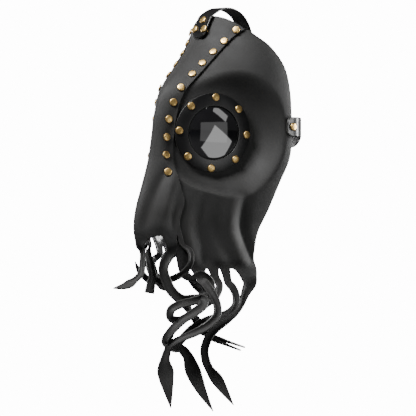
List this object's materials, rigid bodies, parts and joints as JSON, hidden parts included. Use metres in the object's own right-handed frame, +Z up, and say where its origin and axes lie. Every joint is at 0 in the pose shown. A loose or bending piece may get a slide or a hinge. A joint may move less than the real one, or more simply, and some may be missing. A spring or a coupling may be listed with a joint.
{
  "type": "costume mask",
  "caption": "Black leather half-hood mask with a ridged nose, round smoked lenses in riveted rings, curled ribbon ends, a buckled back strap and a crown strap.",
  "frame": {"origin": "midway between the two side-strap rivets at the wearer's temples, which is the middle of the head that holds the mask", "axes": "+Z up, the face looks along -Y, the wearer's left is +X"},
  "size_m": [0.1604, 0.212, 0.4077],
  "materials": {
    "leather": "satin black coated leather, fine grain, darker cut edges",
    "strap": "satin black leather strap with burnished edges",
    "lens": "polished smoked acrylic, nearly black",
    "rivet": "antique brass, polished cap with dark rim",
    "buckle": "antique brass wire, satin"
  },
  "bodies": {
    "mask": {"centre_panel": "leather", "crown_strap_front": "strap", "forehead_rivet_1": "rivet", "forehead_rivet_2": "rivet", "forehead_rivet_3": "rivet", "left_eye_ring": "leather", "left_eye_rivet_1": "rivet", "left_eye_rivet_2": "rivet", "left_eye_rivet_3": "rivet", "left_eye_rivet_4": "rivet", "left_eye_rivet_5": "rivet", "left_eye_rivet_6": "rivet", "left_eye_rivet_7": "rivet", "left_eye_rivet_8": "rivet", "left_lens": "lens", "left_seam_rivet_1": "rivet", "left_seam_rivet_10": "rivet", "left_seam_rivet_11": "rivet", "left_seam_rivet_2": "rivet", "left_seam_rivet_3": "rivet", "left_seam_rivet_4": "rivet", "left_seam_rivet_5": "rivet", "left_seam_rivet_6": "rivet", "left_seam_rivet_7": "rivet", "left_seam_rivet_8": "rivet", "left_seam_rivet_9": "rivet", "left_side_panel": "leather", "right_eye_ring": "leather", "right_eye_rivet_1": "rivet", "right_eye_rivet_2": "rivet", "right_eye_rivet_3": "rivet", "right_eye_rivet_4": "rivet", "right_eye_rivet_5": "rivet", "right_eye_rivet_6": "rivet", "right_eye_rivet_7": "rivet", "right_eye_rivet_8": "rivet", "right_lens": "lens", "right_seam_rivet_1": "rivet", "right_seam_rivet_10": "rivet", "right_seam_rivet_11": "rivet", "right_seam_rivet_2": "rivet", "right_seam_rivet_3": "rivet", "right_seam_rivet_4": "rivet", "right_seam_rivet_5": "rivet", "right_seam_rivet_6": "rivet", "right_seam_rivet_7": "rivet", "right_seam_rivet_8": "rivet", "right_seam_rivet_9": "rivet", "right_side_panel": "leather"},
    "back_strap": {"back_strap_left": "strap", "back_strap_right": "strap", "left_strap_rivet": "rivet", "right_strap_rivet": "rivet"},
    "crown_strap": {"crown_strap_rear": "strap", "crown_loop_rivet": "rivet"},
    "buckle_frame": {"buckle_frame": "buckle"},
    "buckle_prong": {"buckle_prong": "buckle"},
    "strap_keeper": {"strap_keeper": "strap"}
  },
  "joints": [
    {"name": "strap_swing", "type": "hinge", "parent": "mask", "child": "back_strap", "pos_m": [0, 0, 0], "axis": [1, 0, 0], "range_deg": [-6.5, 6.5]},
    {"name": "crown_lift", "type": "slide", "parent": "mask", "child": "crown_strap", "axis": [0, 0, 1], "range_m": [-0.0052, 0.0052]},
    {"name": "buckle_tilt", "type": "hinge", "parent": "back_strap", "child": "buckle_frame", "pos_m": [-0.034, 0.0415, -0.01], "axis": [0, 0, 1], "range_deg": [0, 12]},
    {"name": "prong_lift", "type": "hinge", "parent": "buckle_frame", "child": "buckle_prong", "pos_m": [-0.034, 0.0415, -0.01], "axis": [0, 0, 1], "range_deg": [0, 16]},
    {"name": "keeper_slide", "type": "slide", "parent": "back_strap", "child": "strap_keeper", "axis": [0.829, 0.5592, 0], "range_m": [-0.0025, 0.0025]}
  ],
  "couplings": [
    {"joint": "crown_lift", "follows": "strap_swing", "m_per_rad": 0.0446}
  ]
}
